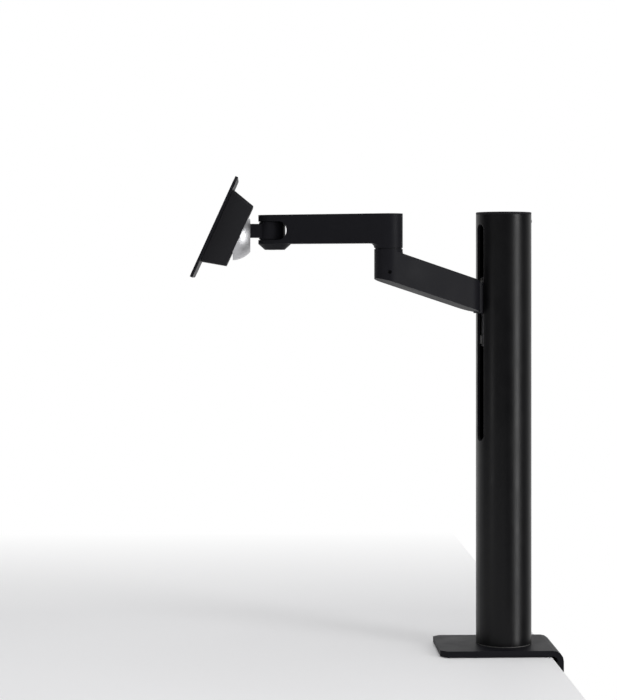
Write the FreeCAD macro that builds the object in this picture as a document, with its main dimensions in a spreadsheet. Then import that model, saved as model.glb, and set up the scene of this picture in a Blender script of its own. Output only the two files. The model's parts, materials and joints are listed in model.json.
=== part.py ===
import FreeCAD, Part

import math
import os
import re

import Sketcher
from FreeCAD import Vector

# A clamp-on monitor arm, in millimetres: a desk clamp, a swivelling column with a sprung carriage inside, a
# sloping lower link, a level upper arm, a wrist yoke with its tilt ball, and a head that carries the screen.
# The origin lies on the column's axis in the desk's surface. +Z is up, -X points to the user, +X to the desk's
# back edge.

# ---------------------------------------------------------------------------------------------------------
# Driving dimensions: name, value, meaning
# ---------------------------------------------------------------------------------------------------------
SIZES = [
    # Fits that every group shares
    ("run_gap", 0.05, "radial clearance of a running fit"),
    ("hole_gap", 0.2, "radial clearance round a fastener"),
    ("rub_gap", 0.3, "gap between soft or curved faces that pass each other"),
    ("face_gap", 0.05, "gap between flat faces that slide on each other"),
    ("seat_gap", 0.02, "radial clearance of a piece pressed into its seat"),
    # Desk clamp
    ("desk_thick", 25, "desk that the clamp is closed on"),
    ("clamp_most", 60, "thickest desk"),
    ("clamp_least", 15, "thinnest desk"),
    ("under_thick", 1.2, "pad under the top plate"),
    ("plate_thick", 6, "bent steel plate"),
    ("plate_front", 73, "column axis to the plate's front edge"),
    ("plate_rear", 58, "column axis to the plate's rear face"),
    ("plate_wide", 93, "plate width"),
    ("plate_corner", 8, "cut of the plate's front corners"),
    ("bend_rad", 11, "outer radius of the plate's bend"),
    ("rear_drop", 92, "desk surface to the lower end of the rear plate"),
    ("jaw_thick", 6, "lower jaw's plate"),
    ("jaw_wide", 62, "lower jaw's width"),
    ("jaw_reach", 84, "length of the jaw's level leg"),
    ("jaw_rise", 30, "height of the jaw's upright leg"),
    ("bumper_thick", 6.5, "rubber at the desk's edge"),
    ("bumper_high", 32, "height of that rubber"),
    ("jaw_bolt_rad", 3, "jaw bolts"),
    ("jaw_bolt_gap", 36, "spacing of the jaw bolts"),
    ("clamp_bolt_rad", 5, "clamp screw"),
    ("boss_rad", 9, "threaded boss in the jaw"),
    ("boss_high", 8, "height of that boss"),
    ("shoe_rad", 25, "pressure plate"),
    ("shoe_thick", 6, "thickness of the pressure plate"),
    ("shoe_face", 2, "rubber face of the pressure plate"),
    ("ball_end_rad", 3.6, "neck of the clamp screw held in the pressure plate"),
    ("knob_rad", 24, "clamp knob"),
    ("knob_high", 18, "height of the clamp knob"),
    ("knob_grips", 8, "finger hollows round the knob"),
    ("grip_rad", 5, "radius of a finger hollow"),
    # Column and its swivel
    ("column_rad", 30, "outside of the column"),
    ("column_wall", 3, "wall of the column"),
    ("column_top", 474, "top of the column above the desk"),
    ("foot_gap", 1, "seam under the column's foot"),
    ("cap_thick", 2.5, "top cap"),
    ("cap_plug", 2.8, "depth of the cap's plug"),
    ("spindle_rad", 22, "fixed tube that the column turns on"),
    ("spindle_wall", 4, "its wall"),
    ("spindle_high", 160, "its top above the desk"),
    ("flange_thick", 10, "its flange"),
    ("flange_bolt_rad", 3, "bolts from the plate into the flange"),
    ("flange_bolt_ring", 13, "distance of those bolts from the axis"),
    ("bush_high", 20, "height of each swivel bush"),
    ("lock_high", 8, "ring nut on top of the spindle"),
    ("slot_low", 227, "lower end of the column's slot"),
    ("slot_high", 461, "upper end of the column's slot"),
    ("liner_thick", 0.6, "liner of the slot"),
    ("stop_thick", 8, "rubber travel stops"),
    ("stop_wide", 9, "how far the stops reach in from the bore"),
    ("anchor_bolt_rad", 1.5, "screws that hold the spring's anchor"),
    # Carriage and counterbalance spring
    ("lift_up", 55, "carriage travel above the rest height"),
    ("lift_down", 110, "carriage travel below the rest height"),
    ("stop_gap", 1.5, "gap left at the stops"),
    ("slide_gap", 2.5, "carriage block to the tube's bore"),
    ("ring_high", 9, "height of a glide ring"),
    ("spring_thick", 0.4, "spring strip"),
    ("spring_wide", 22, "width of the spring strip"),
    ("spring_back", 19, "axis to the strip"),
    ("spool_rad", 7, "spool core"),
    ("coil_rad", 10, "outside of the coiled strip"),
    ("spool_axle_rad", 3, "spool axle"),
    ("spool_drop", 37, "link centre down to the spool axle"),
    ("anchor_wide", 20, "block that holds the strip's upper end"),
    # Lower link
    ("link_yaw", 25, "plan angle of the lower link from -X towards the front"),
    ("link_long", 143, "column axis to elbow axis"),
    ("link_slope", 16.4, "climb of the lower link"),
    ("link_mid", 381.5, "height of the link's centre at the column's surface"),
    ("link_deep", 33, "upright depth of the link"),
    ("arm_wide", 30, "width of both links, with full-round ends"),
    ("link_end_gap", 3, "column surface to the link's round end"),
    ("neck_thick", 11, "neck that passes the slot"),
    ("neck_in", 6, "column axis to the neck's inner end"),
    ("neck_bolt_rad", 3, "bolts through the neck"),
    ("neck_bolt_gap", 12, "spacing of the neck bolts"),
    ("neck_bolt_at", 14, "column axis to the neck bolts"),
    ("knuckle_fillet", 5, "radius where a knuckle meets its link"),
    # Elbow
    ("elbow_seam_low", 433.3, "top of the lower knuckle"),
    ("elbow_seam", 1.2, "washer between the knuckles"),
    ("elbow_pin_rad", 7, "elbow pin"),
    ("elbow_bush_wall", 2.5, "elbow bushes"),
    ("elbow_bush_high", 11, "height of each elbow bush"),
    ("seam_neck", 1, "how far the elbow washer sits inside the knuckles"),
    ("set_bolt_rad", 2, "set screw in the lower knuckle"),
    ("set_bolt_z", 409.3, "height of the set screw"),
    ("set_bolt_turn", 66, "angle of the set screw from the link's axis"),
    ("elbow_cap_rad", 13, "cap over the elbow bolt"),
    ("elbow_cap_thick", 2.3, "thickness of that cap"),
    ("elbow_bolt_rad", 3, "bolt in the elbow pin"),
    ("elbow_pin_top", 463, "top of the elbow pin"),
    ("keeper_thick", 1.8, "washer under the elbow bolt's head"),
    # Upper arm
    ("arm_yaw", 25, "plan angle of the upper arm from -X towards the back"),
    ("arm_long", 134, "elbow axis to wrist axis"),
    ("arm_low", 439.5, "underside of the upper arm"),
    ("arm_high", 470.6, "top of the upper arm"),
    ("arm_wall", 3, "walls of the hollow arm"),
    ("arm_cover_thick", 2, "cover of the cable channel"),
    ("channel_from", 22, "elbow axis to the channel"),
    ("channel_wall", 6.5, "solid between the channel and the fork window"),
    ("fork_low", 443.7, "lower face of the fork window"),
    ("fork_high", 463.7, "upper face of the fork window"),
    ("fork_deep", 23.5, "wrist axis to the window's round end"),
    ("boss_deep", 6.3, "boss under the wrist"),
    ("boss_foot_rad", 8, "radius at the boss's lower face"),
    ("boss_back", 6, "how far the boss reaches back from the wrist axis"),
    # Wrist
    ("wrist_pin_rad", 4, "wrist pin"),
    ("wrist_washer_thick", 0.8, "wrist washers"),
    ("barrel_rad", 14.2, "yoke barrel"),
    ("tab_low", 446.2, "lower face of the yoke's tab"),
    ("tab_high", 461, "upper face of the yoke's tab"),
    ("tab_wide", 18, "width of the tab"),
    # Tilt ball
    ("tilt_reach", 43.5, "wrist axis to tilt axis"),
    ("tilt_high", 448.4, "height of the tilt axis"),
    ("ball_rad", 26.5, "tilt ball"),
    ("ball_flat", 19.9, "tilt axis to the ball's flat"),
    ("ball_rear", -1, "tilt axis to the ball's rear cut"),
    ("ball_half", 25, "half width of the ball"),
    ("ball_hub_rad", 8, "hub behind the ball"),
    ("tilt_pin_rad", 4, "tilt shaft"),
    ("tilt_washer_thick", 1.3, "friction washers"),
    ("tilt_washer_rad", 5.4, "radius of those washers"),
    ("ball_bolt_rad", 2, "bolts from ball to tab"),
    ("ball_bolt_up", 10, "tilt axis up to those bolts"),
    ("ball_bolt_gap", 11, "spacing of those bolts"),
    # Head
    ("tilt_angle", 24.5, "tilt of the head"),
    ("cover_front", 8.3, "tilt axis to the cover's arm-side face"),
    ("cover_rear", 18.7, "tilt axis to the cover's screen-side rim"),
    ("cover_small", 35, "half width of the arm-side face"),
    ("cover_large", 42, "half width of the screen-side rim"),
    ("cover_wall", 2.5, "wall of the cover"),
    ("cover_rise", 2.7, "tilt axis up to the cover's middle"),
    ("cover_corner", 2, "cut of the cover's corners"),
    ("frame_thick", 3, "steel of the head frame"),
    ("frame_half", 14, "half height of the head frame"),
    ("frame_tip", 5.2, "tilt axis to the tips of its cheeks"),
    ("web_at", 11.5, "tilt axis to the frame's web"),
    ("tilt_nut_rad", 5.5, "nuts on the tilt shaft"),
    ("tilt_nut_thick", 3.2, "their thickness"),
    ("hub_rad", 9, "pivot hub"),
    ("hub_bore", 5, "its bore"),
    ("hub_disc_rad", 28, "disc of the pivot hub"),
    ("pivot_washer_thick", 0.9, "washer of the pivot"),
    ("pivot_nut_rad", 13, "ring nut of the pivot"),
    ("pivot_nut_thick", 2.7, "its thickness"),
    ("screen_plate_half", 58, "half width of the screen plate"),
    ("screen_plate_thick", 3, "its thickness"),
    ("screen_plate_corner", 6, "cut of its corners"),
    ("screen_hole_rad", 2.2, "holes for the screen's bolts"),
    ("wide_pattern", 100, "spacing of the outer holes"),
    ("narrow_pattern", 75, "spacing of the inner holes"),
    ("hub_bolt_rad", 2, "bolts between hub and screen plate"),
    ("hub_bolt_ring", 20, "distance of those bolts from the pivot axis"),
]

# Places that follow from the sizes: name, formula
PLACES = [
    ("plate_low", "under_thick"),
    ("plate_high", "plate_low + plate_thick"),
    ("rear_inner", "plate_rear - plate_thick"),
    ("inner_bend", "bend_rad - plate_thick"),
    ("jaw_top", "clamp_most + shoe_thick + shoe_face + 1"),
    ("jaw_bolt_z", "jaw_rise / 2 - jaw_top"),
    ("shoe_low", "desk_thick + shoe_face + shoe_thick"),
    ("knob_top", "shoe_low + jaw_top + jaw_thick + boss_high - clamp_least - shoe_face - shoe_thick + 1"),
    ("column_low", "plate_high + foot_gap"),
    ("column_bore", "column_rad - column_wall"),
    ("spindle_bore", "spindle_rad - spindle_wall"),
    ("bush_top_z", "spindle_high - lock_high - 2"),
    ("slot_half", "neck_thick / 2 + rub_gap + liner_thick"),
    ("neck_low", "link_mid - link_deep / 2"),
    ("neck_high", "link_mid + link_deep / 2"),
    ("spool_z", "link_mid - spool_drop"),
    ("block_low", "spool_z - coil_rad - 5"),
    ("block_high", "neck_high + 6"),
    ("block_rad", "column_bore - slide_gap"),
    ("lower_stop_z", "block_low - lift_down - stop_gap"),
    ("upper_stop_z", "block_high + lift_up + stop_gap"),
    ("strip_top", "upper_stop_z + stop_thick"),
    ("anchor_z", "upper_stop_z + stop_thick / 2"),
    ("bolt_seat", "sqrt(block_rad ^ 2 - neck_bolt_at ^ 2) - neck_bolt_rad - 1.5"),
    ("spool_x", "coil_rad + spring_thick / 2 - spring_back"),
    ("axle_half", "sqrt(block_rad ^ 2 - spool_x ^ 2) - 1"),
    ("arm_half", "arm_wide / 2"),
    ("link_near", "column_rad + link_end_gap"),
    ("column_turn", "180 + link_yaw"),
    ("elbow_x", "-link_long * cos(link_yaw)"),
    ("elbow_y", "-link_long * sin(link_yaw)"),
    ("arm_turn", "180 - arm_yaw"),
    ("wrist_x", "elbow_x - arm_long * cos(arm_yaw)"),
    ("wrist_y", "elbow_y + arm_long * sin(arm_yaw)"),
    ("tilt_x", "wrist_x - tilt_reach"),
    ("elbow_low", "elbow_seam_low + elbow_seam"),
    ("pin_foot", "link_mid - link_deep / 2 + (link_long - column_rad) * tan(link_slope) + 6"),
    ("elbow_bore", "elbow_pin_rad + elbow_bush_wall"),
    ("elbow_floor", "elbow_pin_top - 2"),
    ("channel_to", "arm_long - fork_deep - channel_wall"),
    ("fork_mid", "(fork_low + fork_high) / 2"),
    ("fork_half", "(fork_high - fork_low) / 2"),
    ("boss_low", "arm_low - boss_deep"),
    ("barrel_low", "fork_low + wrist_washer_thick"),
    ("barrel_high", "fork_high - wrist_washer_thick"),
    ("cheek_in", "ball_half + tilt_washer_thick + 2 * face_gap"),
    ("cheek_out", "cheek_in + frame_thick"),
    ("web_rear", "web_at + frame_thick"),
    ("disc_at", "web_rear + pivot_washer_thick + face_gap"),
    ("plate_face", "cover_rear + screen_plate_thick"),
]

OWNER = {name: "Sizes." for name, _, _ in SIZES}
OWNER.update({name: "Places." for name, _ in PLACES})


def formula(text):
    """Write a formula on named sizes the way the document's expressions need it."""
    return re.sub(r"[a-z][a-z_]*", lambda word: OWNER.get(word[0], "") + word[0], str(text))


def sheet_of_sizes(doc):
    """Fill the spreadsheet with the driving dimensions, one alias per cell."""
    sheet = doc.addObject("Spreadsheet::Sheet", "Sizes")
    for row, (name, value, meaning) in enumerate(SIZES, start=1):
        sheet.set(f"A{row}", str(value))
        sheet.setAlias(f"A{row}", name)
        sheet.set(f"B{row}", meaning)
    doc.recompute()
    return sheet


def set_of_places(doc):
    """Hold the places that follow from the sizes as bound properties."""
    places = doc.addObject("App::VarSet", "Places")
    for name, text in PLACES:
        places.addProperty("App::PropertyFloat", name)
        places.setExpression(name, formula(text))
    doc.recompute()
    return places


doc = FreeCAD.newDocument("monitor_arm")
sizes = sheet_of_sizes(doc)
places = set_of_places(doc)
pieces = {}

# Every group is drawn in its own frame: x runs along its link, away from the column, and z is up. The head's x
# runs out along the screen's normal. Each frame is a placement bound to the named places.
FRAMES = {
    "clamp": "placement(vector(0; 0; 0); rotation(0; 0; 0))",
    "column": "placement(vector(0; 0; 0); rotation(column_turn; 0; 0))",
    "arm": "placement(vector(elbow_x; elbow_y; 0); rotation(arm_turn; 0; 0))",
    "wrist": "placement(vector(wrist_x; wrist_y; 0); rotation(180; 0; 0))",
    "head": "placement(vector(tilt_x; wrist_y; tilt_high); rotation(180; -tilt_angle; 0))",
}

# Screw heads and sockets, as shares of the shank's radius
HEAD_WIDE = 1.7
SOCKET_WIDE = 0.8
SOCKET_DEEP = 0.55
SUNK_WIDE = 1.9
SUNK_SOCKET_WIDE = 0.7
SUNK_SOCKET_DEEP = 0.6

# Turns that lay a primitive's own z axis along another axis, as yaw, pitch and roll
TURNS = {"z": "0; 0; 0", "-z": "0; 180; 0", "x": "0; 90; 0", "-x": "0; -90; 0",
         "y": "0; 0; -90", "-y": "0; 0; 90"}


# ---------------------------------------------------------------------------------------------------------
# Helpers: primitives, booleans and PartDesign features bound to named sizes
# ---------------------------------------------------------------------------------------------------------
def lay(obj, x, y, z, turn):
    """Bind an object's placement to formulas for its corner or foot and its turn."""
    obj.setExpression("Placement", formula(f"placement(vector({x}; {y}; {z}); rotation({turn}))"))
    return obj


def rod(radius, length, x=0, y=0, z=0, axis="z"):
    """A cylinder that starts at x, y, z and runs along an axis."""
    obj = doc.addObject("Part::Cylinder", "Rod")
    obj.setExpression("Radius", formula(radius))
    obj.setExpression("Height", formula(length))
    return lay(obj, x, y, z, TURNS[axis])


def taper(start_radius, end_radius, length, x=0, y=0, z=0, axis="z"):
    """A cone frustum that starts at x, y, z and runs along an axis."""
    obj = doc.addObject("Part::Cone", "Taper")
    obj.setExpression("Radius1", formula(start_radius))
    obj.setExpression("Radius2", formula(end_radius))
    obj.setExpression("Height", formula(length))
    return lay(obj, x, y, z, TURNS[axis])


def block(x_low, x_high, y_half, z_low, z_high):
    """A box between two x and two z places, centred across y."""
    obj = doc.addObject("Part::Box", "Block")
    obj.setExpression("Length", formula(f"({x_high}) - ({x_low})"))
    obj.setExpression("Width", formula(f"2 * ({y_half})"))
    obj.setExpression("Height", formula(f"({z_high}) - ({z_low})"))
    return lay(obj, x_low, f"-({y_half})", z_low, "0; 0; 0")


def fuse(*parts):
    """Join overlapping solids into one."""
    obj = doc.addObject("Part::MultiFuse", "Fuse")
    obj.Shapes = list(parts)
    obj.Refine = True
    return obj


def cut(base, *tools):
    """Take one or more solids away from a base."""
    obj = doc.addObject("Part::Cut", "Cut")
    obj.Base = base
    obj.Tool = tools[0] if len(tools) == 1 else fuse(*tools)
    obj.Refine = True
    return obj


def common(first, second):
    """Keep what two solids share."""
    obj = doc.addObject("Part::Common", "Common")
    obj.Base = first
    obj.Tool = second
    return obj


def group(*parts):
    """Hold separate solids, such as a set of screws, as one piece."""
    obj = doc.addObject("Part::Compound", "Group")
    obj.Links = list(parts)
    return obj


def ring(outer, inner, length, x=0, y=0, z=0, axis="z"):
    """A washer, bush or sleeve."""
    return cut(rod(outer, length, x, y, z, axis), rod(inner, length, x, y, z, axis))


def piece(label, obj, frame="clamp"):
    """Name a finished sub-part and put it in its group's frame."""
    here = dict(obj.ExpressionEngine).get("Placement")
    there = formula(FRAMES[frame])
    obj.setExpression("Placement", f"{there} * {here}" if here else there)
    obj.Label = label
    pieces[label] = obj
    return obj


def new_body(name):
    """Start a PartDesign body and return it with its origin's planes and axes."""
    body = doc.addObject("PartDesign::Body", name)
    return body, {feature.Role: feature for feature in body.Origin.OriginFeatures}


def sketch_on(body, plane, name, offset="0"):
    """A sketch on one of the body's origin planes, moved along the plane's normal."""
    sketch = body.newObject("Sketcher::SketchObject", name)
    sketch.AttachmentSupport = [(plane, "")]
    sketch.MapMode = "FlatFace"
    sketch.setExpression("AttachmentOffset.Base.z", formula(offset))
    return sketch


def pin_point(sketch, curve, point, x, y):
    """Bind a sketch point to formulas for its two coordinates."""
    for kind, text in (("DistanceX", x), ("DistanceY", y)):
        row = sketch.addConstraint(Sketcher.Constraint(kind, -1, 1, curve, point, 1.0))
        sketch.setExpression(f"Constraints[{row}]", formula(text))


def outline(sketch, corners):
    """A closed polygon through corners that are pairs of formulas."""
    count = len(corners)
    turn = 2 * math.pi / count
    start = [Vector(10 * math.cos(turn * i), 10 * math.sin(turn * i), 0) for i in range(count)]
    for i in range(count):
        sketch.addGeometry(Part.LineSegment(start[i], start[(i + 1) % count]), False)
    for i in range(count):
        sketch.addConstraint(Sketcher.Constraint("Coincident", i, 2, (i + 1) % count, 1))
    for i, (x, y) in enumerate(corners):
        pin_point(sketch, i, 1, x, y)
    return sketch


def circle(sketch, radius, x="0", y="0"):
    """A circle bound to its radius and centre."""
    curve = sketch.addGeometry(Part.Circle(Vector(1, 1, 0), Vector(0, 0, 1), 5), False)
    pin_point(sketch, curve, 3, x, y)
    row = sketch.addConstraint(Sketcher.Constraint("Radius", curve, 5))
    sketch.setExpression(f"Constraints[{row}]", formula(radius))
    return sketch


def cut_square(half, corner):
    """The eight corners of a square whose corners are cut."""
    short = f"({half}) - ({corner})"
    near, far = f"-({half})", f"-({short})"
    return [(far, near), (short, near), (half, far), (half, short),
            (short, half), (far, half), (near, short), (near, far)]


def pad(body, sketch, length, middle=False):
    """Pad a sketch along its normal, or to both sides of its plane."""
    feature = body.newObject("PartDesign::Pad", "Pad")
    feature.Profile = sketch
    feature.Midplane = middle
    feature.setExpression("Length", formula(length))
    return feature


def pocket_through(body, sketch):
    """Cut a sketch right through the body to both sides."""
    feature = body.newObject("PartDesign::Pocket", "Pocket")
    feature.Profile = sketch
    feature.Type = "ThroughAll"
    feature.Midplane = True
    return feature


def full_turn(body, sketch, axis):
    """Revolve a sketch a full turn about an axis of the body."""
    feature = body.newObject("PartDesign::Revolution", "Revolution")
    feature.Profile = sketch
    feature.ReferenceAxis = (axis, [""])
    feature.Angle = 360
    return feature


def round_bar(near, far, radius, z_low, z_high):
    """A bar with full-round ends about two upright axes on the x axis."""
    height = f"({z_high}) - ({z_low})"
    return fuse(rod(radius, height, near, 0, z_low), rod(radius, height, far, 0, z_low),
                block(near, far, radius, z_low, z_high))


def cap_screw(shank, length, x, y, z, axis):
    """A socket screw: its head lies behind x, y, z and its shank runs on along the axis."""
    back = {"x": "-x", "-x": "x", "y": "-y", "-y": "y", "z": "-z", "-z": "z"}[axis]
    head = rod(f"{HEAD_WIDE} * {shank}", shank, x, y, z, back)
    step = {"x": (1, 0, 0), "y": (0, 1, 0), "z": (0, 0, 1)}[axis[-1]]
    sign = 1 if axis[0] == "-" else -1
    socket_at = [f"({place}) + ({sign * part}) * {shank}" for place, part in zip((x, y, z), step)]
    socket = rod(f"{SOCKET_WIDE} * {shank}", f"{SOCKET_DEEP} * {shank}", *socket_at, axis)
    return cut(fuse(head, rod(shank, length, x, y, z, axis)), socket)


def sunk_screw(shank, length, x, y, z, axis):
    """A countersunk screw whose flat head starts at x, y, z and whose shank runs on along the axis."""
    head = taper(f"{SUNK_WIDE} * {shank}", shank, shank, x, y, z, axis)
    socket = rod(f"{SUNK_SOCKET_WIDE} * {shank}", f"{SUNK_SOCKET_DEEP} * {shank}", x, y, z, axis)
    return cut(fuse(head, rod(shank, length, x, y, z, axis)), socket)


def sunk_hole(shank, length, x, y, z, axis):
    """The hole that a countersunk screw sits in, with its clearance."""
    wide = f"{shank} + hole_gap"
    head = taper(f"{SUNK_WIDE} * {shank} + hole_gap", wide, shank, x, y, z, axis)
    return fuse(head, rod(wide, length, x, y, z, axis))


# ---------------------------------------------------------------------------------------------------------
# Desk clamp: everything here stays with the desk
# ---------------------------------------------------------------------------------------------------------
def clamp_bracket():
    """One steel plate, bent down behind the desk, with holes for the spindle's and the jaw's bolts."""
    body, origin = new_body("ClampBracket")
    profile = sketch_on(body, origin["XZ_Plane"], "BentProfile")
    inside = [(f"rear_inner - inner_bend * (1 - sin({turn}))", f"plate_low - inner_bend * (1 - cos({turn}))")
              for turn in (0, 45, 90)]
    outside = [(f"plate_rear - bend_rad * (1 - cos({turn}))", f"plate_high - bend_rad * (1 - sin({turn}))")
               for turn in (0, 22.5, 45, 67.5, 90)]
    outline(profile, [("-plate_front", "plate_low"), *inside, ("rear_inner", "-rear_drop"),
                      ("plate_rear", "-rear_drop"), *outside, ("-plate_front", "plate_high")])
    pad(body, profile, "plate_wide", middle=True)
    corners = sketch_on(body, origin["XY_Plane"], "FrontCorners")
    for side in ("", "-"):
        first = corners.GeometryCount
        tip = [("-plate_front - 1", f"{side}(plate_wide / 2 + 1)"),
               ("-plate_front + plate_corner", f"{side}(plate_wide / 2 + 1)"),
               ("-plate_front - 1", f"{side}(plate_wide / 2 - plate_corner)")]
        for i in range(3):
            start = Vector(10 + i, 5 * i * i, 0)
            end = Vector(10 + (i + 1) % 3, 5 * ((i + 1) % 3) ** 2, 0)
            corners.addGeometry(Part.LineSegment(start, end), False)
        for i in range(3):
            corners.addConstraint(Sketcher.Constraint("Coincident", first + i, 2, first + (i + 1) % 3, 1))
        for i, (x, y) in enumerate(tip):
            pin_point(corners, first + i, 1, x, y)
    pocket_through(body, corners)
    doc.recompute()
    bolts = flange_bolts(sunk_hole, "plate_low")
    jaw_holes = [rod("jaw_bolt_rad + hole_gap", "plate_thick + 2", "rear_inner - 1", side + "jaw_bolt_gap / 2",
                     "jaw_bolt_z", "x") for side in ("", "-")]
    return piece("clamp_bracket", cut(body, *bolts, *jaw_holes))


def flange_bolts(make, foot):
    """Four countersunk screws, or their holes, up through the plate into the spindle's flange."""
    spots = [("flange_bolt_ring", "0"), ("-flange_bolt_ring", "0"), ("0", "flange_bolt_ring"),
             ("0", "-flange_bolt_ring")]
    return [make("flange_bolt_rad", "plate_thick + flange_thick - 2", x, y, foot, "z") for x, y in spots]


def clamp_rubbers():
    """The pad under the plate and the bumper at the desk's edge."""
    under = block("-plate_front + plate_corner", "rear_inner - bend_rad", "plate_wide / 2 - 2", "0", "plate_low")
    piece("desk_pad", under)
    bumper = block("rear_inner - bumper_thick", "rear_inner", "jaw_wide / 2", "-bumper_high - 6", "-6")
    piece("edge_bumper", bumper)


def lower_jaw():
    """An angle bracket bolted to the rear plate, with a threaded boss for the clamp screw."""
    upright = block("rear_inner - jaw_thick", "rear_inner", "jaw_wide / 2", "-jaw_top - jaw_thick",
                    "jaw_rise - jaw_top")
    level = block("rear_inner - jaw_reach", "rear_inner", "jaw_wide / 2", "-jaw_top - jaw_thick", "-jaw_top")
    gusset = block("boss_rad + 2", "rear_inner - jaw_thick / 2", "2", "-jaw_top - jaw_thick - 8", "-jaw_top")
    bore = rod("clamp_bolt_rad + 2 + hole_gap", "jaw_thick + 2", "0", "0", "-jaw_top - jaw_thick - 1")
    holes = [rod("jaw_bolt_rad + run_gap", "jaw_thick + 2", "rear_inner - jaw_thick - 1",
                 side + "jaw_bolt_gap / 2", "jaw_bolt_z", "x") for side in ("", "-")]
    piece("lower_jaw", cut(fuse(upright, level, gusset), bore, *holes))
    bolts = [cap_screw("jaw_bolt_rad", "plate_thick + jaw_thick", "plate_rear", side + "jaw_bolt_gap / 2",
                       "jaw_bolt_z", "-x") for side in ("", "-")]
    piece("jaw_screws", group(*bolts))
    collar = rod("clamp_bolt_rad + 2", "jaw_thick", "0", "0", "-jaw_top - jaw_thick")
    nut = rod("boss_rad", "boss_high", "0", "0", "-jaw_top - jaw_thick - boss_high")
    thread = rod("clamp_bolt_rad + run_gap", "jaw_thick + boss_high + 2", "0", "0",
                 "-jaw_top - jaw_thick - boss_high - 1")
    piece("jaw_thread_boss", cut(fuse(collar, nut), thread))


def clamp_screw():
    """The pressure plate that only slides, and the screw with its knob that turns under it."""
    pocket = "-shoe_low + 1.2"
    cup = fuse(rod("ball_end_rad + run_gap", "3", "0", "0", "-shoe_low - 1"),
               rod("ball_end_rad + 1.2 + run_gap", "2.6", "0", "0", pocket))
    piece("pressure_plate", cut(rod("shoe_rad", "shoe_thick", "0", "0", "-shoe_low"), cup))
    piece("pressure_pad", rod("shoe_rad - 1", "shoe_face", "0", "0", "-desk_thick - shoe_face"))
    neck = rod("ball_end_rad", "shoe_face + 3", "0", "0", "-shoe_low - 1.5")
    head = rod("ball_end_rad + 1.2", "2.4", "0", "0", pocket + " + 0.1")
    shank = rod("clamp_bolt_rad", "knob_top - shoe_low + knob_high - 3.3", "0", "0", "-knob_top - knob_high + 3")
    piece("clamp_screw", fuse(neck, head, shank))
    body, origin = new_body("ClampKnob")
    profile = sketch_on(body, origin["XZ_Plane"], "KnobProfile")
    outline(profile, [
        ("clamp_bolt_rad", "-knob_top - knob_high + 3"), ("clamp_bolt_rad", "-knob_top"),
        ("boss_rad", "-knob_top"),
        ("boss_rad + 2", "-knob_top - 4"), ("knob_rad - 2", "-knob_top - 6"), ("knob_rad", "-knob_top - 8"),
        ("knob_rad", "-knob_top - knob_high + 2"), ("knob_rad - 2", "-knob_top - knob_high"),
        ("0", "-knob_top - knob_high"), ("0", "-knob_top - knob_high + 3"),
    ])
    full_turn(body, profile, origin["Z_Axis"])
    hollow = sketch_on(body, origin["XY_Plane"], "FingerHollow")
    circle(hollow, "grip_rad", "knob_rad + grip_rad - 2.5", "0")
    first = pocket_through(body, hollow)
    grips = body.newObject("PartDesign::PolarPattern", "Grips")
    grips.Originals = [first]
    grips.Axis = (origin["Z_Axis"], [""])
    grips.Angle = 360
    grips.setExpression("Occurrences", formula("knob_grips"))
    body.Tip = grips
    piece("clamp_knob", body)


def spindle():
    """The fixed tube bolted on the plate, which the column turns on, with what holds the column down."""
    body, origin = new_body("Spindle")
    profile = sketch_on(body, origin["XZ_Plane"], "SpindleProfile")
    outline(profile, [
        ("0", "plate_high"), ("column_bore - 0.5", "plate_high"),
        ("column_bore - 0.5", "plate_high + flange_thick"),
        ("spindle_rad", "plate_high + flange_thick"), ("spindle_rad", "spindle_high - 1"),
        ("spindle_rad - 1", "spindle_high"), ("spindle_bore", "spindle_high"),
        ("spindle_bore", "plate_high + flange_thick"), ("0", "plate_high + flange_thick"),
    ])
    full_turn(body, profile, origin["Z_Axis"])
    holes = flange_bolts(lambda rad, *rest: rod(f"{rad} + run_gap", *rest), "plate_low")
    piece("swivel_spindle", cut(body, *holes))
    piece("spindle_screws", group(*flange_bolts(sunk_screw, "plate_low")))
    piece("swivel_washer", ring("column_rad - 1.2", "column_bore + 0.2", "foot_gap - face_gap", "0", "0",
                                "plate_high"))
    piece("swivel_nut", ring("column_bore - 2", "spindle_rad + run_gap", "lock_high - 1", "0", "0",
                             "spindle_high - lock_high"))
    piece("thrust_washer", ring("column_bore - 1", "spindle_rad + run_gap", "2 - face_gap", "0", "0",
                                "bush_top_z"))


# ---------------------------------------------------------------------------------------------------------
# Column: turns on the spindle
# ---------------------------------------------------------------------------------------------------------
def upright_slot(half):
    """A round-ended bar from the column's axis out through its wall, over the slot's height."""
    low, high, reach = "slot_low + slot_half", "slot_high - slot_half", "column_rad + 5"
    ends = [rod(half, reach, "0", "0", place, "x") for place in (low, high)]
    return fuse(block("0", reach, half, low, high), *ends)


def column_tube():
    """A plain tube with one upright slot towards the lower link."""
    body, origin = new_body("ColumnTube")
    plan = sketch_on(body, origin["XY_Plane"], "TubePlan", "column_low")
    circle(plan, "column_rad")
    circle(plan, "column_bore")
    pad(body, plan, "column_top - cap_thick - column_low")
    doc.recompute()
    slot = upright_slot("slot_half")
    holes = [rod("anchor_bolt_rad + hole_gap", "column_rad + 5", "0", side + "anchor_wide / 4", "anchor_z", "-x")
             for side in ("", "-")]
    return piece("column_tube", cut(body, slot, *holes), "column")


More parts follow.
